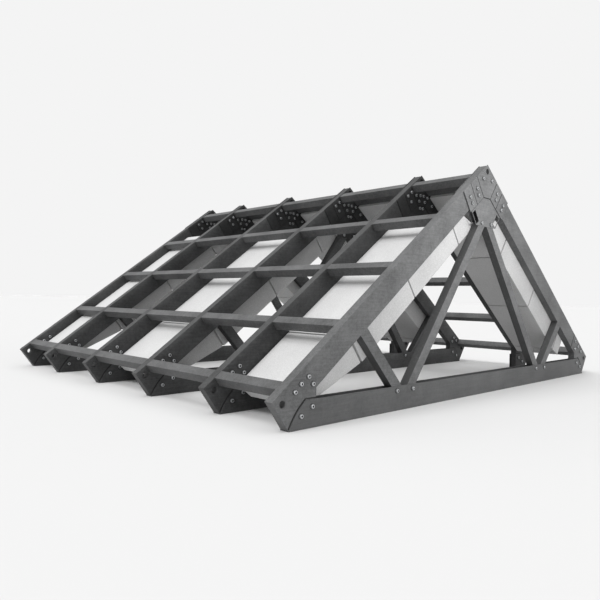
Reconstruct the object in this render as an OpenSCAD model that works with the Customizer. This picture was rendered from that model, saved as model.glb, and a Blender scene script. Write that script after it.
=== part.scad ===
// Roof frame of six steel trusses, tied by rows of purlins, with boards hung in every second bay.
// Every second truss is a light one: a pair of chords on short heel channels, with no webs.
// X runs along the span, Y along the ridge (the front gable is at -Y) and Z up, in millimetres.
// The origin is on the floor, under the middle of the frame.

/* [Frame] */
// Half the span, from the middle of the frame to the toe of a truss
half_span = 1550; // [1300:10:2200]
// Slope of the roof, in degrees
roof_pitch = 36.2; // [32:0.1:42]
// Distance between the first two trusses, and between the last two
end_bay = 450; // [350:10:700]
// Distance between the other trusses
middle_bay = 600; // [450:10:900]

/* [Chords] */
// Depth of a top chord, square to the slope
chord_depth = 114; // [90:1:140]
// Width of the top chords and webs, along the ridge
chord_width = 44; // [36:1:60]
// Length of the square cut at the foot of a top chord
heel_cut = 150; // [140:1:190]
// Distance from the toe in to the upright edge of the heel haunch
haunch_length = 157; // [130:1:220]
// Height of the bottom channel
channel_height = 118; // [90:1:140]
// Wall of the bottom channel
channel_wall = 4; // [2:0.5:6]
// Clearance between the bottom channel and the members that stand in it
channel_gap = 0.3; // [0.1:0.1:0.5]
// Length of the curved end of the channel's flanges
flange_end_length = 93; // [70:1:120]
// How far the curved flange end bulges past a straight cut
flange_end_bulge = 9; // [4:1:16]
// How far the channel under the left heel of a light truss reaches past the haunch
left_channel_reach = 145; // [10:5:400]
// How far the channel under the right heel of a light truss reaches past the haunch
right_channel_reach = 15; // [10:5:400]

/* [Webs] */
// Depth of a web in the plane of the truss
web_depth = 57; // [40:1:66]
// Distance from the middle of the span to the foot where two webs meet
web_foot_x = 770; // [650:10:850]
// Height of the point where the lines of those two webs cross
web_foot_z = 47; // [40:1:60]
// Distance down the slope to the top of a short web
short_web_station = 1435; // [1300:5:1500]
// Height at which the lines of the two long webs cross below the ridge
long_web_crossing = 1030; // [1000:5:1060]
// Gap between the ends of two webs that meet
web_end_gap = 3; // [1:0.5:6]

/* [Ridge plates] */
// Thickness of a ridge gusset and of the cover plates on it
plate_thickness = 3; // [2:0.5:6]
// Length of the ridge gusset and cover plates down each slope
ridge_plate_length = 320; // [300:5:360]
// Distance down the slope from the ridge to the middle of the first seam
first_seam = 145; // [130:1:160]
// Distance down the slope from the ridge to the middle of the second seam
second_seam = 230; // [205:1:250]
// Width of the seams between the cover plates
seam_width = 5; // [2:0.5:8]
// Depth of the cover plates, square to the slope
cover_depth = 130; // [116:1:145]
// How far the cover plates stand above the top of the chord
cover_rise = 3; // [0:0.5:6]
// Distance down the slope to the end of the gusset's tail
tail_length = 302; // [290:1:310]
// Depth of the gusset's tail, square to the slope
tail_depth = 222; // [215:1:240]
// Width of the slot in each side of the tail, along the slope
slot_width = 35; // [20:1:40]
// Length of that slot, square to the slope
slot_length = 73; // [50:1:75]
// Material left outside the slot
slot_rim = 4; // [3:0.5:12]

/* [Holes] */
// Diameter of the holes in the heels and at the ridge
hole_diameter = 32; // [16:1:40]
// Distance of a heel hole from the square end of the chord
heel_hole_end = 38; // [30:1:50]
// Depth of a heel hole below the top of the chord
heel_hole_depth = 43; // [35:1:55]
// Depth of the ridge hole below the tip of the ridge
ridge_hole_drop = 37; // [34:1:50]

/* [Purlins] */
// Width of a purlin, along the slope
purlin_width = 48; // [36:1:60]
// Depth of a purlin, square to the slope
purlin_depth = 48; // [36:1:60]
// Distance down the slope to the middle of the ridge purlin
ridge_purlin_station = 110; // [90:1:115]
// Distance between the four upper rows of purlins
purlin_spacing = 470; // [420:5:490]
// Distance of the eave purlin's middle from the square end of the chord
eave_purlin_end = 95; // [90:1:120]

/* [Boards] */
// Thickness of a board
board_thickness = 150; // [80:5:170]
// Depth of the board's edge that is held between two top chords
board_grip = 8; // [5:1:20]
// Gap between the purlins and the outer face of the boards in the last bay
last_bay_gap = 18; // [10:1:40]
// Clearance between a board and the members on each side of it
board_gap = 0.3; // [0.1:0.1:0.5]
// Clearance between the ridge plates and the upper end of the boards
ridge_clearance = 5; // [3:0.5:30]
// How much further up the slope the inner face of the boards reaches
board_bevel = 100; // [60:5:110]
// Length of a full board, from joint to joint
board_length = 515; // [470:5:530]
// Length of the lowest board on the left slope
eave_board_length = 395; // [350:5:420]
// Thickness of the lowest board at its thin end
eave_board_thickness = 68; // [50:1:75]
// How much further down the slope the joints lie on the right slope
right_joint_shift = 65; // [40:5:80]
// How far the back edge of the boards is cut away at their inner face
board_back_bevel = 120; // [60:5:140]
// Distance of the left boards' lower end from the square end of the chord
left_board_margin = 150; // [145:1:180]
// Distance of the right boards' lower end from the square end of the chord
right_board_margin = 380; // [330:5:420]
// Gap at the joints between boards
joint_gap = 9; // [2:0.5:14]
// Thickness of the boards between the two upper rows of purlins on the right slope
ridge_board_thickness = 40; // [30:1:48]
// Gap between those boards and the purlins
ridge_board_gap = 16; // [8:1:24]

/* [Hidden] */
truss_count = 6;
bays = [end_bay, middle_bay, middle_bay, middle_bay, end_bay];
board_bays = [1, 3, 5];
full_trusses = [1, 3, 5];
light_trusses = [2, 4, 6];
sides = ["left", "right"];
purlin_rows = ["ridge", "upper", "middle", "lower", "eave"];
round_steps = 64;

slope_sin = sin(roof_pitch);
slope_cos = cos(roof_pitch);
slope_tan = tan(roof_pitch);
ridge_z = channel_wall + half_span * slope_tan + heel_cut / slope_cos;
slope_length = (half_span + heel_cut * slope_sin) / slope_cos;
haunch_x = half_span - haunch_length;
channel_inside = chord_width + 2 * channel_gap;
channel_width = channel_inside + 2 * channel_wall;
gusset_face = chord_width / 2;
cover_face = gusset_face + plate_thickness;
ridge_face = cover_face + plate_thickness;
slot_end = tail_length - slot_rim;
slot_start = slot_end - slot_width;
slot_foot = tail_depth - slot_rim;
purlin_stations = [
    for (row = [0 : 3]) ridge_purlin_station + row * purlin_spacing,
    slope_length - eave_purlin_end
];
left_board_end = slope_length - left_board_margin;
right_board_end = slope_length - right_board_margin;
last_joint = left_board_end - eave_board_length;
shortest_board = 40;
lowest_start = max([for (bay = board_bays) board_start(bay)]);
joint_count = floor((last_joint - lowest_start - shortest_board) / board_length) + 1;
joints = [for (n = [joint_count - 1 : -1 : 0]) last_joint - n * board_length];

colour_steel = "#565759";
colour_plate = "#616264";
colour_board = "#d6d7d8";

// Sum of the first n bays
function bay_sum(n) = n == 0 ? 0 : bays[n - 1] + bay_sum(n - 1);
// Middle plane of truss i, counted from 1 at the front gable
function truss_y(i) = bay_sum(i - 1) - bay_sum(len(bays)) / 2;
// Point on the right half of a truss: a distance down the slope, and a depth square to it
function on_slope(along, depth) =
    [along * slope_cos - depth * slope_sin, ridge_z - along * slope_sin - depth * slope_cos];
// Height of the underside of a top chord at a distance from the middle
function soffit_z(x) = ridge_z - x * slope_tan - chord_depth / slope_cos;

// Rectangle in the right half, between two distances down the slope and two depths
module slope_rectangle(along_1, along_2, depth_1, depth_2) {
    polygon([
        on_slope(along_1, depth_1),
        on_slope(along_2, depth_1),
        on_slope(along_2, depth_2),
        on_slope(along_1, depth_2)
    ]);
}

// Drawing of the right half, turned over for the left half
module on_side(side) {
    mirror([side == "left" ? 1 : 0, 0, 0]) children();
}

// Flat drawing in X and Z stood up as a slab between two values of Y
module slab(y_1, y_2) {
    translate([0, y_2, 0]) rotate([90, 0, 0]) linear_extrude(y_2 - y_1) children();
}

// Hole along Y through a member at a point of the truss's drawing
module drill(point, y) {
    translate([point[0], y, point[1]]) rotate([90, 0, 0])
        cylinder(h = 4 * chord_width, d = hole_diameter, center = true, $fn = round_steps);
}

ridge_hole = [0, ridge_z - ridge_hole_drop];
heel_hole = on_slope(slope_length - heel_hole_end, heel_hole_depth);

// Top chord with its square heel, and the haunch that stands in the bottom channel
module top_chord(i, side) {
    y = truss_y(i);
    color(colour_steel) on_side(side) difference() {
        slab(y - chord_width / 2, y + chord_width / 2) polygon([
            [0, ridge_z],
            [0, soffit_z(0)],
            [haunch_x, soffit_z(haunch_x)],
            [haunch_x, channel_wall],
            [half_span, channel_wall],
            [half_span + heel_cut * slope_sin, channel_wall + heel_cut * slope_cos]
        ]);
        drill(heel_hole, y);
        drill(ridge_hole, y);
    }
}

// Outline of the flanges in one half of a bottom channel, with their curved end
module flange_half() {
    chord = norm([flange_end_length, channel_height]);
    radius = chord * chord / (8 * flange_end_bulge) + flange_end_bulge / 2;
    inset = (radius - flange_end_bulge) / chord;
    centre = [
        half_span - flange_end_length / 2 - inset * channel_height,
        channel_height / 2 - inset * flange_end_length
    ];
    square([centre[0], channel_height]);
    intersection() {
        translate(centre) circle(radius, $fn = 4 * round_steps);
        translate([centre[0], 0]) square([half_span - centre[0], channel_height]);
    }
}

// Channel open upwards at truss i, from the outline of its flanges
module channel(i) {
    y = truss_y(i);
    color(colour_steel) difference() {
        slab(y - channel_width / 2, y + channel_width / 2) children();
        translate([-half_span, y - channel_inside / 2, channel_wall])
            cube([2 * half_span, channel_inside, channel_height]);
    }
}

// Bottom chord of a full truss, which holds the heels and the feet of the webs
module bottom_chord(i) {
    channel(i) for (side = sides) on_side(side) flange_half();
}

// Short channels under the two heels of a light truss
module heel_channels(i) {
    channel(i) for (side = sides) {
        reach = side == "left" ? left_channel_reach : right_channel_reach;
        on_side(side) intersection() {
            flange_half();
            translate([haunch_x - reach, 0]) square([haunch_length + reach, channel_height]);
        }
    }
}

// Long strip of a web's depth, from a point along a direction
module web_strip(from, to) {
    direction = to - from;
    reach = 2 * half_span;
    translate(from) rotate(atan2(direction[1], direction[0])) translate([-reach / 2, -web_depth / 2])
        square([reach, web_depth]);
}

web_foot = [web_foot_x, web_foot_z];

// Short web: from the foot outwards to the underside of the top chord
module short_web(side, y) {
    on_side(side) slab(y - chord_width / 2, y + chord_width / 2) intersection() {
        web_strip(web_foot, on_slope(short_web_station, chord_depth));
        polygon([
            [web_foot_x + web_end_gap / 2, channel_wall],
            [web_foot_x + web_end_gap / 2, soffit_z(web_foot_x + web_end_gap / 2)],
            [haunch_x, soffit_z(haunch_x)],
            [haunch_x, channel_wall]
        ]);
    }
}

// Long web: from the foot inwards to the ridge gussets
module long_web(side, y) {
    top = on_slope(tail_length, tail_depth)[1] + web_depth;
    on_side(side) slab(y - chord_width / 2, y + chord_width / 2) intersection() {
        web_strip(web_foot, [0, long_web_crossing]);
        translate([web_end_gap / 2, channel_wall])
            square([web_foot_x - web_end_gap, top - channel_wall]);
    }
}

module webs(i) {
    color(colour_steel) for (side = sides) {
        short_web(side, truss_y(i));
        long_web(side, truss_y(i));
    }
}

// Half of a ridge gusset: over the chord, with a tail that holds the long webs
module gusset_half(tail_end) {
    polygon([
        [0, ridge_z],
        on_slope(ridge_plate_length, 0),
        on_slope(ridge_plate_length, chord_depth),
        on_slope(tail_end, chord_depth),
        on_slope(tail_end, tail_depth),
        [0, on_slope(tail_end, tail_depth)[1]]
    ]);
}

// Pair of gusset plates: the front one has a slot in each side of its tail, the back one a shorter tail
module ridge_gussets(i) {
    y = truss_y(i);
    color(colour_plate) difference() {
        union() {
            slab(y - cover_face, y - gusset_face) for (side = sides) on_side(side) difference() {
                gusset_half(tail_length);
                slope_rectangle(slot_start, slot_end, slot_foot - slot_length, slot_foot);
            }
            slab(y + gusset_face, y + cover_face) for (side = sides) on_side(side) gusset_half(slot_start);
        }
        drill(ridge_hole, y);
    }
}

// Kite-shaped cover plate at the tip of the ridge
module ridge_cap() {
    edge = first_seam - seam_width / 2;
    corner = on_slope(edge, -cover_rise);
    foot = on_slope(edge, cover_depth);
    polygon([
        [0, ridge_z + cover_rise / slope_cos],
        corner,
        foot,
        [-foot[0], foot[1]],
        [-corner[0], corner[1]]
    ]);
}

// Two cover plates on one slope, below the kite
module side_covers() {
    slope_rectangle(first_seam + seam_width / 2, second_seam - seam_width / 2, -cover_rise, cover_depth);
    slope_rectangle(second_seam + seam_width / 2, ridge_plate_length, -cover_rise, cover_depth);
}

// Cover plates on the two faces of a truss
module ridge_covers(i) {
    y = truss_y(i);
    color(colour_plate) difference() {
        for (turn = [0, 1]) translate([0, y, 0]) mirror([0, turn, 0]) slab(cover_face, ridge_face) {
            ridge_cap();
            for (side = sides) on_side(side) side_covers();
        }
        drill(ridge_hole, y);
    }
}

// One row of purlins on one slope, cut to length between the trusses
module purlins(row, side) {
    station = purlin_stations[row];
    seat = row == 0 ? ridge_face : gusset_face;
    color(colour_steel) on_side(side) for (i = [1 : truss_count - 1])
        slab(truss_y(i) + seat, truss_y(i + 1) - seat)
            slope_rectangle(station - purlin_width / 2, station + purlin_width / 2, 0, purlin_depth);
}

// Depth of the outer face of a bay's boards
function board_top(bay) = bay == max(board_bays) ? purlin_depth + last_bay_gap : chord_depth - board_grip;
// Distance down the slope to that face's upper end, from which the end slants clear of the plates' two corners
function board_start(bay) =
    let (slant = board_bevel / board_thickness, top = board_top(bay))
    ridge_clearance + max(
        ridge_plate_length + slant * (cover_depth - top),
        slot_start + slant * min(tail_depth - top, board_thickness)
    );
// Thickness of the boards: even down to the knee at the last joint, then falling to the thin end
function board_depth(along, knee) =
    board_thickness - (board_thickness - eave_board_thickness) * max(0, along - knee) / eave_board_length;

// Wedge along the right slope that bevels the back edge of a bay's boards, from the chord's underside inwards
module back_bevel(bay, y_back) {
    overcut = 0.1;
    rise = board_top(bay) + board_thickness - chord_depth;
    edge = y_back + overcut * board_back_bevel;
    tip = [y_back - (1 + overcut) * board_back_bevel, -chord_depth - (1 + overcut) * rise];
    translate([0, 0, ridge_z]) rotate([0, roof_pitch, 0]) rotate([90, 0, 90])
        linear_extrude(slope_length) polygon([[edge, overcut * rise - chord_depth], tip, [edge, tip[1]]]);
}

// Boards of one bay on one slope: the top one is cut back at the ridge, the lowest clears the channels
module boards(bay, side) {
    lower_end = side == "left" ? left_board_end : right_board_end;
    lowest_seat = side == "left" ? channel_width / 2 : gusset_face;
    shift = side == "left" ? 0 : right_joint_shift;
    knee = last_joint + shift;
    starts = [board_start(bay), for (joint = joints) joint + shift + joint_gap / 2];
    ends = [for (joint = joints) joint + shift - joint_gap / 2, lower_end];
    top = board_top(bay);
    color(colour_board) on_side(side) for (n = [0 : joint_count]) {
        seat = (n == joint_count ? lowest_seat : gusset_face) + board_gap;
        y_back = truss_y(bay + 1) - seat;
        difference() {
            slab(truss_y(bay) + seat, y_back) polygon([
                on_slope(starts[n], top),
                on_slope(ends[n], top),
                on_slope(ends[n], top + board_depth(ends[n], knee)),
                on_slope(starts[n] - (n == 0 ? board_bevel : 0), top + board_depth(starts[n], knee))
            ]);
            back_bevel(bay, y_back);
        }
    }
}

// Row of boards between the two upper rows of purlins on the right slope, one to a bay
module ridge_boards() {
    margin = purlin_width / 2 + ridge_board_gap;
    seat = ridge_face + board_gap;
    color(colour_board) for (i = [1 : truss_count - 1]) slab(truss_y(i) + seat, truss_y(i + 1) - seat)
        slope_rectangle(
            purlin_stations[0] + margin,
            purlin_stations[1] - margin,
            purlin_depth - ridge_board_thickness,
            purlin_depth
        );
}

for (i = [1 : truss_count]) {
    for (side = sides) top_chord(i, side);
    ridge_gussets(i);
    ridge_covers(i);
}
for (i = full_trusses) {
    bottom_chord(i);
    webs(i);
}
for (i = light_trusses) heel_channels(i);
for (row = [0 : len(purlin_rows) - 1]) for (side = sides)
    purlins(row, side);
for (bay = board_bays) for (side = sides)
    boards(bay, side);
ridge_boards();
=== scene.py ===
"""Looks of the roof truss frame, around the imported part: paint, boards, bolts, light and the photo's camera."""
import math

import bmesh
import bpy
from mathutils import Matrix, Vector


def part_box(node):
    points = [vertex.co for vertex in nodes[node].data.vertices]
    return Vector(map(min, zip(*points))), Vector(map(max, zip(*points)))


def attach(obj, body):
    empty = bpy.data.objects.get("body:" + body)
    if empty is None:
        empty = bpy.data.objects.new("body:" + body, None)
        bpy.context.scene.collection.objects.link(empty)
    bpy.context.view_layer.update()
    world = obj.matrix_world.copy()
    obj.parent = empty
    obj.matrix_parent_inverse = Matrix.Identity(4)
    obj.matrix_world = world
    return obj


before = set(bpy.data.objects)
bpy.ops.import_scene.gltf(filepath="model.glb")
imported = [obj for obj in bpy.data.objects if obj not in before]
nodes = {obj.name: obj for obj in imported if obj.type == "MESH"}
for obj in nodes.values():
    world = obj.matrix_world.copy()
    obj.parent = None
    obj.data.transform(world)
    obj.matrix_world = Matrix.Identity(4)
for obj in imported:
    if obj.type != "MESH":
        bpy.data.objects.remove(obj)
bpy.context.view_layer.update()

# What the bolts and the painted shadow lines in the seams are set out from, in metres and radians
PITCH = math.radians(36.2)
TRUSSES = range(1, 7)
FULL_TRUSSES = (1, 3, 5)
SIDES = {"left": -1, "right": 1}
RIDGE_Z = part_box("top_chord_right_1")[1].z
MM = 0.001


def truss_y(i):
    low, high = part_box(f"top_chord_left_{i}")
    return (low.y + high.y) / 2


def half_width(node, i):
    """How far a node's outer face stands from the middle plane of truss i."""
    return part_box(node)[1].y - truss_y(i)


def on_slope(along, depth):
    """(x, z) on the right half of a truss, from mm down the slope and mm of depth square to it."""
    along, depth = along * MM, depth * MM
    return (
        along * math.cos(PITCH) - depth * math.sin(PITCH),
        RIDGE_Z - along * math.sin(PITCH) - depth * math.cos(PITCH),
    )


# Materials


class Nodes:
    """A short way to add and join shader nodes in one tree."""

    def __init__(self, tree):
        self.tree = tree

    def add(self, kind, **values):
        node = self.tree.nodes.new("ShaderNode" + kind)
        for name, value in values.items():
            if name in node.inputs:
                node.inputs[name].default_value = value
            else:
                setattr(node, name, value)
        return node

    def join(self, output, socket):
        self.tree.links.new(output, socket)


def new_material(name):
    material = bpy.data.materials.new(name)
    material.use_nodes = True
    tree = material.node_tree
    return material, Nodes(tree), tree.nodes["Principled BSDF"]


def noise(n, coordinates, scale, detail, roughness=0.55):
    texture = n.add("TexNoise", Scale=scale, Detail=detail, Roughness=roughness)
    n.join(coordinates, texture.inputs["Vector"])
    return texture.outputs["Fac"]


def weighted(n, parts):
    """Sum of outputs, each times its weight."""
    total = None
    for output, weight in parts:
        scaled = n.add("Math", operation="MULTIPLY")
        scaled.inputs[1].default_value = weight
        n.join(output, scaled.inputs[0])
        if total is None:
            total = scaled.outputs[0]
            continue
        added = n.add("Math", operation="ADD")
        n.join(total, added.inputs[0])
        n.join(scaled.outputs[0], added.inputs[1])
        total = added.outputs[0]
    return total


def grey(value, tint=0.0):
    """Linear grey, with a touch of blue for a positive tint."""
    return (value * (1 - tint), value, value * (1 + tint), 1)


def ramp(n, output, stops):
    node = n.add("ValToRGB")
    elements = node.color_ramp.elements
    while len(elements) < len(stops):
        elements.new(0.5)
    for element, (place, colour) in zip(elements, stops):
        element.position = place
        element.color = colour
    n.join(output, node.inputs["Fac"])
    return node.outputs["Color"]


def roughen(n, shader, output, smooth, rough):
    """Lets an output vary the roughness between two values."""
    span = n.add("MapRange")
    span.inputs["To Min"].default_value = smooth
    span.inputs["To Max"].default_value = rough
    n.join(output, span.inputs["Value"])
    n.join(span.outputs["Result"], shader.inputs["Roughness"])


def add_bump(n, shader, parts, strength, distance):
    """Relief from weighted outputs, as weighted() takes them."""
    bump = n.add("Bump", Strength=strength, Distance=distance)
    n.join(weighted(n, parts), bump.inputs["Height"])
    n.join(bump.outputs["Normal"], shader.inputs["Normal"])


def facing_for_painted_shade(n, coordinates):
    """1 on faces across the ridge's line, falling to 0 on faces along it: the mask by which shade is painted by the
    way a face points.
    """
    facing = n.add("SeparateXYZ")
    n.join(coordinates.outputs["Normal"], facing.inputs[0])
    size = n.add("Math", operation="ABSOLUTE")
    n.join(facing.outputs["Y"], size.inputs[0])
    return size.outputs[0]


def painted_steel(name, turn, dark, light, painted_side_shade=0.0):
    """Charcoal paint on rolled steel: clouds, streaks along the member and a fine grain.

    turn lays local X along the member; the last argument paints shade on the sides, making the front and back lighter
    than the sides.
    """
    material, n, shader = new_material(name)
    coordinates = n.add("TexCoord")
    place = coordinates.outputs["Object"]
    along = n.add("Mapping", Rotation=turn, Scale=(0.05, 1, 1))
    n.join(place, along.inputs["Vector"])
    clouds = noise(n, place, 5, 5)
    mottle = noise(n, place, 60, 4, 0.7)
    streaks = noise(n, along.outputs["Vector"], 140, 3)
    grain = noise(n, place, 260, 2)
    shade = weighted(n, [
        (clouds, 0.35), (mottle, 0.3), (streaks, 0.2), (grain, 0.15), (facing_for_painted_shade(n, coordinates), painted_side_shade)
    ])
    n.join(ramp(n, shade, [(0.4 + painted_side_shade, dark), (0.6 + painted_side_shade, light)]), shader.inputs["Base Color"])
    roughen(n, shader, mottle, smooth=0.42, rough=0.6)
    add_bump(n, shader, [(mottle, 0.5), (grain, 0.5)], strength=0.35, distance=0.0006)
    shader.inputs["Specular IOR Level"].default_value = 0.15
    return material


def pale_board():
    """Pale pressed board: a fine speckle, soft clouds and faint pebbles, with painted shade making it greyer on its
    sides along the chords.
    """
    material, n, shader = new_material("pale_board")
    coordinates = n.add("TexCoord")
    place = coordinates.outputs["Object"]
    clouds = noise(n, place, 4, 4)
    speckle = noise(n, place, 170, 3, 0.7)
    pebbles = n.add("TexVoronoi", Scale=190)
    n.join(place, pebbles.inputs["Vector"])
    # Painted shade: the sides along the chords come out greyer than the other faces
    shade = weighted(n, [
        (clouds, 0.3), (speckle, 0.5), (pebbles.outputs["Distance"], 0.2), (facing_for_painted_shade(n, coordinates), -0.24)
    ])
    n.join(ramp(n, shade, [(0.05, grey(0.31)), (0.3, grey(0.44)), (0.62, grey(0.58))]), shader.inputs["Base Color"])
    add_bump(n, shader, [(speckle, 0.6), (pebbles.outputs["Distance"], 0.4)], strength=0.3, distance=0.0008)
    shader.inputs["Roughness"].default_value = 0.85
    shader.inputs["Specular IOR Level"].default_value = 0.25
    return material


def zinc():
    """Plated steel of the bolts' heads and nuts."""
    material, n, shader = new_material("bolt_zinc")
    place = n.add("TexCoord").outputs["Object"]
    spangle = noise(n, place, 240, 3)
    n.join(ramp(n, spangle, [(0.3, grey(0.38, 0.02)), (0.7, grey(0.62, 0.02))]), shader.inputs["Base Color"])
    roughen(n, shader, spangle, smooth=0.28, rough=0.48)
    shader.inputs["Metallic"].default_value = 0.85
    return material


def near_black_painted_shade():
    """Dull near-black painted shade with a trace of dust, for the bolts' sockets and the painted shadow lines in the
    joints.
    """
    material, n, shader = new_material("near_black_painted_shade")
    dust = noise(n, n.add("TexCoord").outputs["Object"], 90, 3)
    n.join(ramp(n, dust, [(0.35, grey(0.008)), (0.65, grey(0.017))]), shader.inputs["Base Color"])
    shader.inputs["Roughness"].default_value = 0.9
    return material


def shades(dark, light):
    """The two ends of a paint's range, with its touch of blue."""
    return grey(dark, 0.01), grey(light, 0.01)


ALONG_X = (0, 0, 0)
ALONG_Y = (0, 0, math.pi / 2)
ALONG_Z = (0, math.pi / 2, 0)


def steel_set(start, member, channel, plate):
    """Materials by part of a node's name, from the shades of the members, of the channels and of the ridge plates."""
    channel_steel = painted_steel(start + "_channel", ALONG_X, *channel)
    plate_steel = painted_steel(start + "_ridge_plate", ALONG_X, *plate)
    return {
        "top_chord_left": painted_steel(start + "_chord_left", (0, PITCH, 0), *member),
        "top_chord_right": painted_steel(start + "_chord_right", (0, -PITCH, 0), *member),
        "bottom_chord": channel_steel,
        "heel_channels": channel_steel,
        # Painted shade: the webs' sides come out darker than their fronts and backs
        "webs": painted_steel(start + "_web", ALONG_Z, *member, painted_side_shade=0.12),
        "ridge_gussets": plate_steel,
        "ridge_covers": plate_steel,
    }


# The gable truss and the frame behind it have one dark grey paint. The frame's copies are darker as painted shade,
# and its ridge plates are darkest as painted shade near the ridge. On the gable the channel is darker and the ridge
# plates are lighter, as painted shade low down and painted light high up.
gable_steel = steel_set("grey", shades(0.077, 0.147), shades(0.073, 0.107), shades(0.086, 0.164))
frame_steel = steel_set("rear_frame", shades(0.04, 0.08), shades(0.04, 0.08), shades(0.022, 0.044))
frame_steel["purlins"] = painted_steel("charcoal_purlin", ALONG_Y, *shades(0.064, 0.128))
board_material = pale_board()
bolt_materials = [zinc(), painted_steel("bolt_washer", ALONG_X, *shades(0.042, 0.078)), near_black_painted_shade()]
HEAD_SLOT, WASHER_SLOT, PAINTED_SHADE_SLOT = range(3)


BOARD_EDGE = 0.003
PLATE_EDGE = 0.0008
MEMBER_EDGE = 0.0012
EDGE_SEGMENTS = 2
WELD_REACH = 0.00002
FLAT_ANGLE = math.radians(0.5)
SHARP_ANGLE = math.radians(30)


def soften(node, width):
    """Rounds a CAD node's edges for the light, over its own unchanged mesh."""
    weld = node.modifiers.new("weld", "WELD")
    weld.merge_threshold = WELD_REACH
    flat = node.modifiers.new("flat", "DECIMATE")
    flat.decimate_type = "DISSOLVE"
    flat.angle_limit = FLAT_ANGLE
    bevel = node.modifiers.new("edges", "BEVEL")
    bevel.width = width
    bevel.segments = EDGE_SEGMENTS
    bevel.limit_method = "ANGLE"
    bevel.angle_limit = SHARP_ANGLE


for name, node in nodes.items():
    if "boards" in name:
        material, edge = board_material, BOARD_EDGE
    else:
        steel = gable_steel if name.endswith("_1") else frame_steel
        material = next(m for part, m in steel.items() if part in name)
        edge = PLATE_EDGE if "ridge_covers" in name or "ridge_gussets" in name else MEMBER_EDGE
    node.data.materials.clear()
    node.data.materials.append(material)
    soften(node, edge)


def add_piece(name, bm, materials):
    """New object from a finished bmesh, riding on the part's one body."""
    mesh = bpy.data.meshes.new(name)
    bm.to_mesh(mesh)
    bm.free()
    for material in materials:
        mesh.materials.append(material)
    piece = bpy.data.objects.new(name, mesh)
    bpy.context.scene.collection.objects.link(piece)
    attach(piece, "root")


# Bolts: a round socket head on a washer on the front of each truss, a nut on a washer with the thread's end behind

WASHER_RADIUS = 0.0115
WASHER_THICKNESS = 0.002
HEAD_RADIUS = 0.0088
HEAD_HEIGHT = 0.007
SOCKET_RADIUS = 0.0052
SOCKET_DEPTH = 0.005
NUT_RADIUS = 0.0105
NUT_HEIGHT = 0.009
THREAD_RADIUS = 0.006
THREAD_STUB = 0.006
THREAD_EDGE = 0.001
HEX_SIDES = 6
ROUND_STEPS = 24
THREAD_STEPS = 16
BOLT_ROOM = 0.018


def ring(bm, place, radius, height, steps, sides=0):
    """Vertices round local Z: a circle, or a polygon of that many sides, radius being to its corners."""
    points = []
    for k in range(steps):
        a = 2 * math.pi * k / steps
        reach = radius
        if sides:
            half = math.pi / sides
            reach *= math.cos(half) / math.cos(a % (2 * half) - half)
        points.append(bm.verts.new(place @ Vector((reach * math.cos(a), reach * math.sin(a), height))))
    return points


def skin(bm, rings, slot, end_slot=None):
    """Closed skin over rings of vertices, listed from the foot on.

    end_slot is the material of the last band and end.
    """
    if end_slot is None:
        end_slot = slot
    steps = len(rings[0])
    for lower, upper in zip(rings, rings[1:]):
        for k in range(steps):
            m = (k + 1) % steps
            face = bm.faces.new((lower[k], lower[m], upper[m], upper[k]))
            face.material_index = end_slot if upper is rings[-1] else slot
    bm.faces.new(rings[0][::-1]).material_index = slot
    bm.faces.new(rings[-1]).material_index = end_slot


def lathe(bm, place, profile, steps, slot):
    """Closed solid turned about local Z, from (radius, height) pairs listed from the foot up."""
    skin(bm, [ring(bm, place, radius, height, steps) for radius, height in profile], slot)


def add_washer(bm, place):
    edge = 0.0006
    lathe(bm, place, [
        (WASHER_RADIUS, 0),
        (WASHER_RADIUS, WASHER_THICKNESS - edge),
        (WASHER_RADIUS - edge, WASHER_THICKNESS),
    ], ROUND_STEPS, WASHER_SLOT)


def add_head(bm, place):
    """Socket cap with a rounded rim and a six-sided recess, whose walls and floor are near-black painted shade."""
    add_washer(bm, place)
    foot, top = WASHER_THICKNESS, WASHER_THICKNESS + HEAD_HEIGHT
    rim = 0.0018
    profile = [(HEAD_RADIUS, foot), (HEAD_RADIUS, top - rim)]
    for turn in (30, 60, 90):
        a = math.radians(turn)
        profile.append((HEAD_RADIUS - rim + rim * math.cos(a), top - rim + rim * math.sin(a)))
    rings = [ring(bm, place, radius, height, ROUND_STEPS) for radius, height in profile]
    for height in (top, top - SOCKET_DEPTH):
        rings.append(ring(bm, place, SOCKET_RADIUS, height, ROUND_STEPS, HEX_SIDES))
    skin(bm, rings, HEAD_SLOT, PAINTED_SHADE_SLOT)


def add_nut(bm, place):
    """Six-sided nut with chamfered corners, and the end of the thread through it."""
    add_washer(bm, place)
    chamfer = 0.0014
    foot, top = WASHER_THICKNESS, WASHER_THICKNESS + NUT_HEIGHT
    lathe(bm, place, [
        (NUT_RADIUS - chamfer, foot),
        (NUT_RADIUS, foot + chamfer / 2),
        (NUT_RADIUS, top - chamfer / 2),
        (NUT_RADIUS - chamfer, top),
    ], HEX_SIDES, HEAD_SLOT)
    lathe(bm, place, [
        (THREAD_RADIUS, top),
        (THREAD_RADIUS, top + THREAD_STUB - THREAD_EDGE),
        (THREAD_RADIUS - THREAD_EDGE, top + THREAD_STUB),
    ], THREAD_STEPS, HEAD_SLOT)


# On the chords and ridge plates, in mm down the slope and mm of depth
HEEL_BOLTS = [(1821, 46), (1871, 43), (1916, 47), (1819, 87)]
GABLE_RIGHT_HEEL_BOLTS = [(1764, 39), (1834, 41), (1902, 40), (1794, 88)]
GABLE_COVER_BOLTS = [(184, 53), (193, 92), (280, 57), (280, 95), (91, 39)]
FRAME_COVER_BOLTS = [(161, 30), (128, 70), (90, 92), (122, 114), (208, 32), (198, 77)]
# On the channels and the gussets' tails, as (x, z) in metres
CHANNEL_END_BOLTS = [(1.423, 0.0886), (1.486, 0.056)]
WEB_FOOT_BOLTS = [(0.712, 0.096), (0.842, 0.096)]
GABLE_TAIL_BOLT = (0.0535, 0.984)
FRAME_TAIL_BOLT = (0.0145, 1.118)


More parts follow.
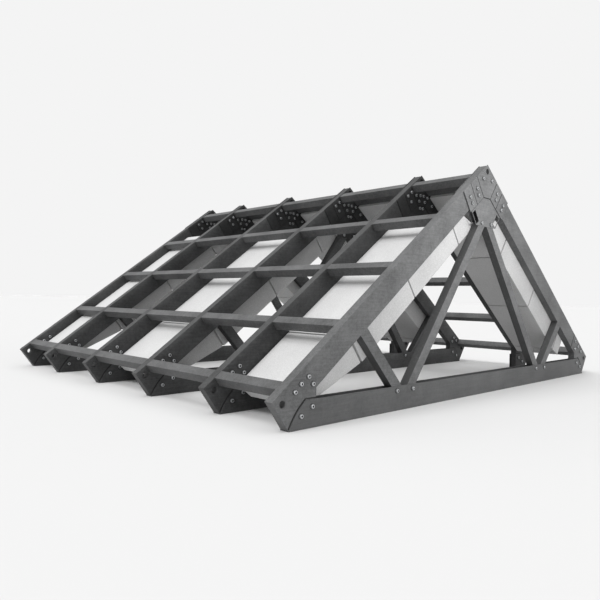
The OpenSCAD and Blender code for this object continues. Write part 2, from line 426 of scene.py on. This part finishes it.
def bolt_places(i, side):
    """(x, z, front face, back face) of each bolt on a side of truss i, with x as on the right half.

    The faces are distances from the truss's middle plane.
    """
    chord = half_width(f"top_chord_left_{i}", i)
    full = i in FULL_TRUSSES
    channel = half_width(f"bottom_chord_{i}" if full else f"heel_channels_{i}", i)
    cover = half_width(f"ridge_covers_{i}", i)
    gusset = half_width(f"ridge_gussets_{i}", i)
    for bolt in GABLE_RIGHT_HEEL_BOLTS if (i, side) == (1, "right") else HEEL_BOLTS:
        yield (*on_slope(*bolt), chord, chord)
    for bolt in GABLE_COVER_BOLTS if i == 1 else FRAME_COVER_BOLTS:
        yield (*on_slope(*bolt), cover, cover)
    for bolt in CHANNEL_END_BOLTS:
        yield (*bolt, channel, channel)
    if full:
        for bolt in WEB_FOOT_BOLTS:
            yield (*bolt, channel, channel)
        yield (*GABLE_TAIL_BOLT, gusset, chord)
    if i > 1:
        yield (*FRAME_TAIL_BOLT, gusset, gusset)


def has_room(x, y, z, outwards):
    """True where no other piece stands against the face at a bolt's place.

    outwards is the way off that face, along Y.
    """
    scene = bpy.context.scene
    graph = bpy.context.evaluated_depsgraph_get()
    for dx, dz in ((0, 0), (1, 0), (-1, 0), (0, 1), (0, -1)):
        start = Vector((x + dx * WASHER_RADIUS, y + outwards * MM, z + dz * WASHER_RADIUS))
        hit, place, normal, *_ = scene.ray_cast(graph, start, Vector((0, outwards, 0)))
        if hit and (normal.y * outwards > 0 or abs(place.y - start.y) < BOLT_ROOM):
            return False
    return True


FACE_FRONT = Matrix.Rotation(math.pi / 2, 4, "X")
FACE_BACK = Matrix.Rotation(-math.pi / 2, 4, "X")
# Degrees by which a bolt is turned for its number, its truss and its side, so that neighbours aren't alike
BOLT_TURN, TRUSS_TURN, SIDE_TURN = 37, 19, 11
for i in TRUSSES:
    bm = bmesh.new()
    y = truss_y(i)
    for side, sign in SIDES.items():
        for k, (x, z, front, back) in enumerate(bolt_places(i, side)):
            turn = math.radians(BOLT_TURN * k + TRUSS_TURN * i + SIDE_TURN * sign)
            spin = Matrix.Rotation(turn, 4, "Z")
            if has_room(sign * x, y - front, z, -1):
                add_head(bm, Matrix.Translation((sign * x, y - front, z)) @ FACE_FRONT @ spin)
            if has_room(sign * x, y + back, z, 1):
                add_nut(bm, Matrix.Translation((sign * x, y + back, z)) @ FACE_BACK @ spin)
    add_piece(f"bolts_truss_{i}", bm, bolt_materials)


# Painted shadow lines: near-black strips in the seams of the ridge plates, and on the heels along the top and the
# curved end of the channels' flanges, standing for the shade in those gaps and under those edges

FLANGE_CENTRE = (1.2608, -0.1323)
FLANGE_RADIUS = 0.318
FLANGE_TOP = 0.12
FLANGE_TOP_SPAN = (1.393, 1.457)
FLANGE_TOP_SEAM_WIDTH = 0.005
SEAM_WIDTH = 0.007
SEAM_THICKNESS = 0.0004
SEAM_START, SEAM_END = math.radians(26), math.radians(52.5)
SEAM_STEPS = 16
WIDE_SEAM_WIDTH = 0.015
WIDE_SEAM_START = math.radians(31)
CAP_TOP = 1.1352
CAP_TOP_HALF = 0.0382
CAP_SEAM_WIDTH = 0.005


def flange_end(reach, start=SEAM_START):
    """Points round the curved end of a flange, reach metres outside it, from an angle on."""
    for k in range(SEAM_STEPS + 1):
        a = start + (SEAM_END - start) * k / SEAM_STEPS
        radius = FLANGE_RADIUS + reach
        yield FLANGE_CENTRE[0] + radius * math.cos(a), FLANGE_CENTRE[1] + radius * math.sin(a)


def flange_strip(inside, outside, start=SEAM_START):
    """The two edges of a strip round the curved end of a flange."""
    return list(flange_end(inside, start)), list(flange_end(outside, start))


def level_strip(xs, z_1, z_2):
    """The two edges of a level strip, one at each height."""
    return tuple([(x, z) for x in xs] for z in (z_1, z_2))


def slope_strip(along_1, along_2, depth_1, depth_2):
    """The two edges of a strip set square to the slope, in mm down the slope and mm of depth."""
    return tuple([on_slope(along, depth_1), on_slope(along, depth_2)] for along in (along_1, along_2))


HEEL_SEAMS = [
    flange_strip(0, SEAM_WIDTH),
    level_strip(FLANGE_TOP_SPAN, FLANGE_TOP, FLANGE_TOP + FLANGE_TOP_SEAM_WIDTH),
]
GUSSET_SEAMS = [
    slope_strip(142.5, 147.5, 0, 134),
    slope_strip(227.5, 232.5, 0, 130),
    slope_strip(147.5, 300, 130, 134),
    level_strip((0, CAP_TOP_HALF), CAP_TOP, CAP_TOP - CAP_SEAM_WIDTH),
]
PLATE_END_SEAM = slope_strip(320, 325, 1, 114)
GABLE_RIGHT_HEEL_SEAMS = [
    slope_strip(1722, 1731, 1, 113),
    flange_strip(SEAM_WIDTH, WIDE_SEAM_WIDTH, WIDE_SEAM_START),
]


def add_painted_shadow_line(bm, edges, sign, y, outwards):
    """Thin painted shadow line between two edges on a face at y, with outwards as the way off that face."""
    rows = []
    for (x_1, z_1), (x_2, z_2) in zip(*edges):
        section = [(x_1, 0, z_1), (x_2, 0, z_2), (x_2, SEAM_THICKNESS, z_2), (x_1, SEAM_THICKNESS, z_1)]
        rows.append([bm.verts.new((sign * x, y + outwards * rise, z)) for x, rise, z in section])
    skin(bm, rows, 0)


# Painted shadow lines of each truss, on both faces of its chords and ridge gussets
for i in TRUSSES:
    bm = bmesh.new()
    y = truss_y(i)
    chord = half_width(f"top_chord_left_{i}", i)
    gusset = half_width(f"ridge_gussets_{i}", i)
    for side, sign in SIDES.items():
        chord_shadow_lines = list(HEEL_SEAMS)
        if i == 1:
            chord_shadow_lines.append(PLATE_END_SEAM)
            if side == "right":
                chord_shadow_lines += GABLE_RIGHT_HEEL_SEAMS
        for outwards in (-1, 1):
            for seam in chord_shadow_lines:
                add_painted_shadow_line(bm, seam, sign, y + outwards * chord, outwards)
            for seam in GUSSET_SEAMS:
                add_painted_shadow_line(bm, seam, sign, y + outwards * gusset, outwards)
    bmesh.ops.recalc_face_normals(bm, faces=bm.faces)
    add_piece(f"painted_shadow_lines_truss_{i}", bm, [bolt_materials[PAINTED_SHADE_SLOT]])


# Floor, light and camera. The lit floor comes out as bright as the backdrop, so the far edge doesn't show.

FLOOR_SIZE = 400
FLOOR_ALBEDO = 0.615
BACKDROP = 0.905
SKY_HORIZON = 0.3
SKY_ZENITH = 1.125

bpy.ops.mesh.primitive_plane_add(size=FLOOR_SIZE, location=(0, 0, 0))
floor = bpy.context.object
floor.name = "floor"
floor_material, _, floor_shader = new_material("pale_floor")
floor_shader.inputs["Base Color"].default_value = grey(FLOOR_ALBEDO)
floor_shader.inputs["Roughness"].default_value = 1
floor_shader.inputs["Specular IOR Level"].default_value = 0
floor.data.materials.append(floor_material)

# The sky lights the object, and camera, glossy and transmission rays see the plain backdrop instead
world = bpy.data.worlds.new("studio")
bpy.context.scene.world = world
world.use_nodes = True
n = Nodes(world.node_tree)
sky = world.node_tree.nodes["Background"]
height = n.add("SeparateXYZ")
n.join(n.add("TexCoord").outputs["Generated"], height.inputs[0])
n.join(ramp(n, height.outputs["Z"], [(0, grey(SKY_HORIZON)), (1, grey(SKY_ZENITH))]), sky.inputs["Color"])
backdrop = n.add("Background", Color=grey(BACKDROP))
rays = n.add("LightPath")
seen = None
for kind in ("Is Camera Ray", "Is Glossy Ray", "Is Transmission Ray"):
    if seen is None:
        seen = rays.outputs[kind]
        continue
    either = n.add("Math", operation="MAXIMUM")
    n.join(seen, either.inputs[0])
    n.join(rays.outputs[kind], either.inputs[1])
    seen = either.outputs[0]
mix = n.add("MixShader")
n.join(seen, mix.inputs[0])
n.join(sky.outputs[0], mix.inputs[1])
n.join(backdrop.outputs[0], mix.inputs[2])
n.join(mix.outputs[0], world.node_tree.nodes["World Output"].inputs["Surface"])


def add_sun(name, towards, energy, angle):
    """Lamp without falloff, so that the floor is evenly lit.

    towards is the direction to it, and angle its width in degrees.
    """
    lamp = bpy.data.lights.new(name, "SUN")
    lamp.energy = energy
    lamp.angle = math.radians(angle)
    holder = bpy.data.objects.new(name, lamp)
    holder.rotation_euler = Vector(towards).to_track_quat("Z", "Y").to_euler()
    bpy.context.scene.collection.objects.link(holder)


def add_panel(name, place, target, size, energy, spread):
    """Soft square lamp aimed at a point, with its spread in degrees."""
    lamp = bpy.data.lights.new(name, "AREA")
    lamp.size = size
    lamp.energy = energy
    lamp.spread = math.radians(spread)
    holder = bpy.data.objects.new(name, lamp)
    holder.location = place
    holder.rotation_euler = (Vector(place) - Vector(target)).to_track_quat("Z", "Y").to_euler()
    holder.visible_camera = False
    bpy.context.scene.collection.objects.link(holder)


add_sun("overhead", towards=(-0.6, 0, 0.8), energy=2.5, angle=42)
add_sun("gable", towards=(0, -1, 0), energy=2.1, angle=8)
add_panel("ridge", place=(-0.2, -3.2, 1.15), target=(-0.2, -1.38, 1.1), size=1, energy=5.6, spread=70)

# The camera fitted to the photo, with its angles in radians
CAMERA_PLACE = Vector((-3.1105, -3.0187, 0.5245))
CAMERA_YAW = 0.7748
CAMERA_PITCH = -0.0011
CAMERA_ROLL = 0.02
FOCAL_PIXELS = 576.4354
IMAGE_PIXELS = 600
SENSOR_WIDTH = 36

forward = Vector((
    math.sin(CAMERA_YAW) * math.cos(CAMERA_PITCH),
    math.cos(CAMERA_YAW) * math.cos(CAMERA_PITCH),
    math.sin(CAMERA_PITCH),
))
level = forward.cross(Vector((0, 0, 1))).normalized()
rise = level.cross(forward)
right = math.cos(CAMERA_ROLL) * level + math.sin(CAMERA_ROLL) * rise
up = math.cos(CAMERA_ROLL) * rise - math.sin(CAMERA_ROLL) * level
camera = bpy.data.cameras.new("camera")
camera.sensor_width = SENSOR_WIDTH
camera.lens = SENSOR_WIDTH * FOCAL_PIXELS / IMAGE_PIXELS
camera_object = bpy.data.objects.new("camera", camera)
camera_object.matrix_world = Matrix.Translation(CAMERA_PLACE) @ Matrix((right, up, -forward)).transposed().to_4x4()
bpy.context.scene.collection.objects.link(camera_object)
bpy.context.scene.camera = camera_object
bpy.context.scene.view_settings.view_transform = "Standard"
